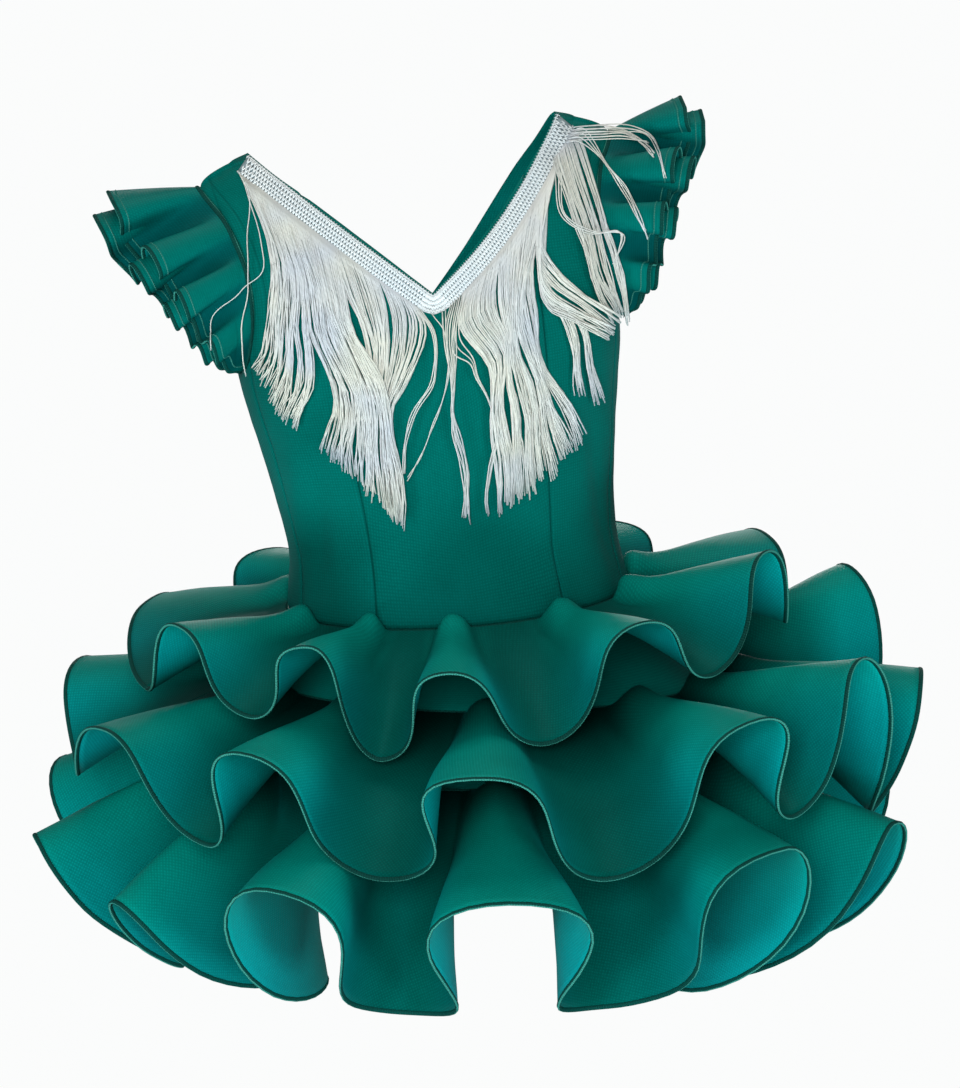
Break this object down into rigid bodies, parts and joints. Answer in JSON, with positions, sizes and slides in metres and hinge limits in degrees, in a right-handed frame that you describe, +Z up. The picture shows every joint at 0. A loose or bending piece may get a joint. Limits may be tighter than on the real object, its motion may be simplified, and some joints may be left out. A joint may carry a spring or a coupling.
{
  "type": "child's flamenco dress, filled out as worn",
  "caption": "Child's flamenco dress with fitted dropped-waist bodice, fringed V neck, double ruffle cap sleeves and tiered circular flounces.",
  "frame": {"origin": "midway between the two shoulder points, where the wearer's shoulders hold the dress up", "axes": "+Z up, -Y the way the front faces, +X to the right of the front view"},
  "size_m": [0.6058, 0.5624, 0.5725],
  "materials": {
    "teal_crepe": "satin",
    "silver_fringe": "satin"
  },
  "bodies": {
    "root": {"bodice_front_centre": "teal_crepe", "bodice_front_side_left": "teal_crepe", "bodice_front_side_right": "teal_crepe", "bodice_back": "teal_crepe", "sleeve_ruffle_upper_left": "teal_crepe", "sleeve_ruffle_lower_left": "teal_crepe", "sleeve_ruffle_upper_right": "teal_crepe", "sleeve_ruffle_lower_right": "teal_crepe", "skirt_base": "teal_crepe", "flounce_upper_front": "teal_crepe", "flounce_upper_back": "teal_crepe", "flounce_middle_front": "teal_crepe", "flounce_middle_back": "teal_crepe", "flounce_lower_front": "teal_crepe", "flounce_lower_back": "teal_crepe", "neck_fringe": "silver_fringe"}
  },
  "joints": []
}
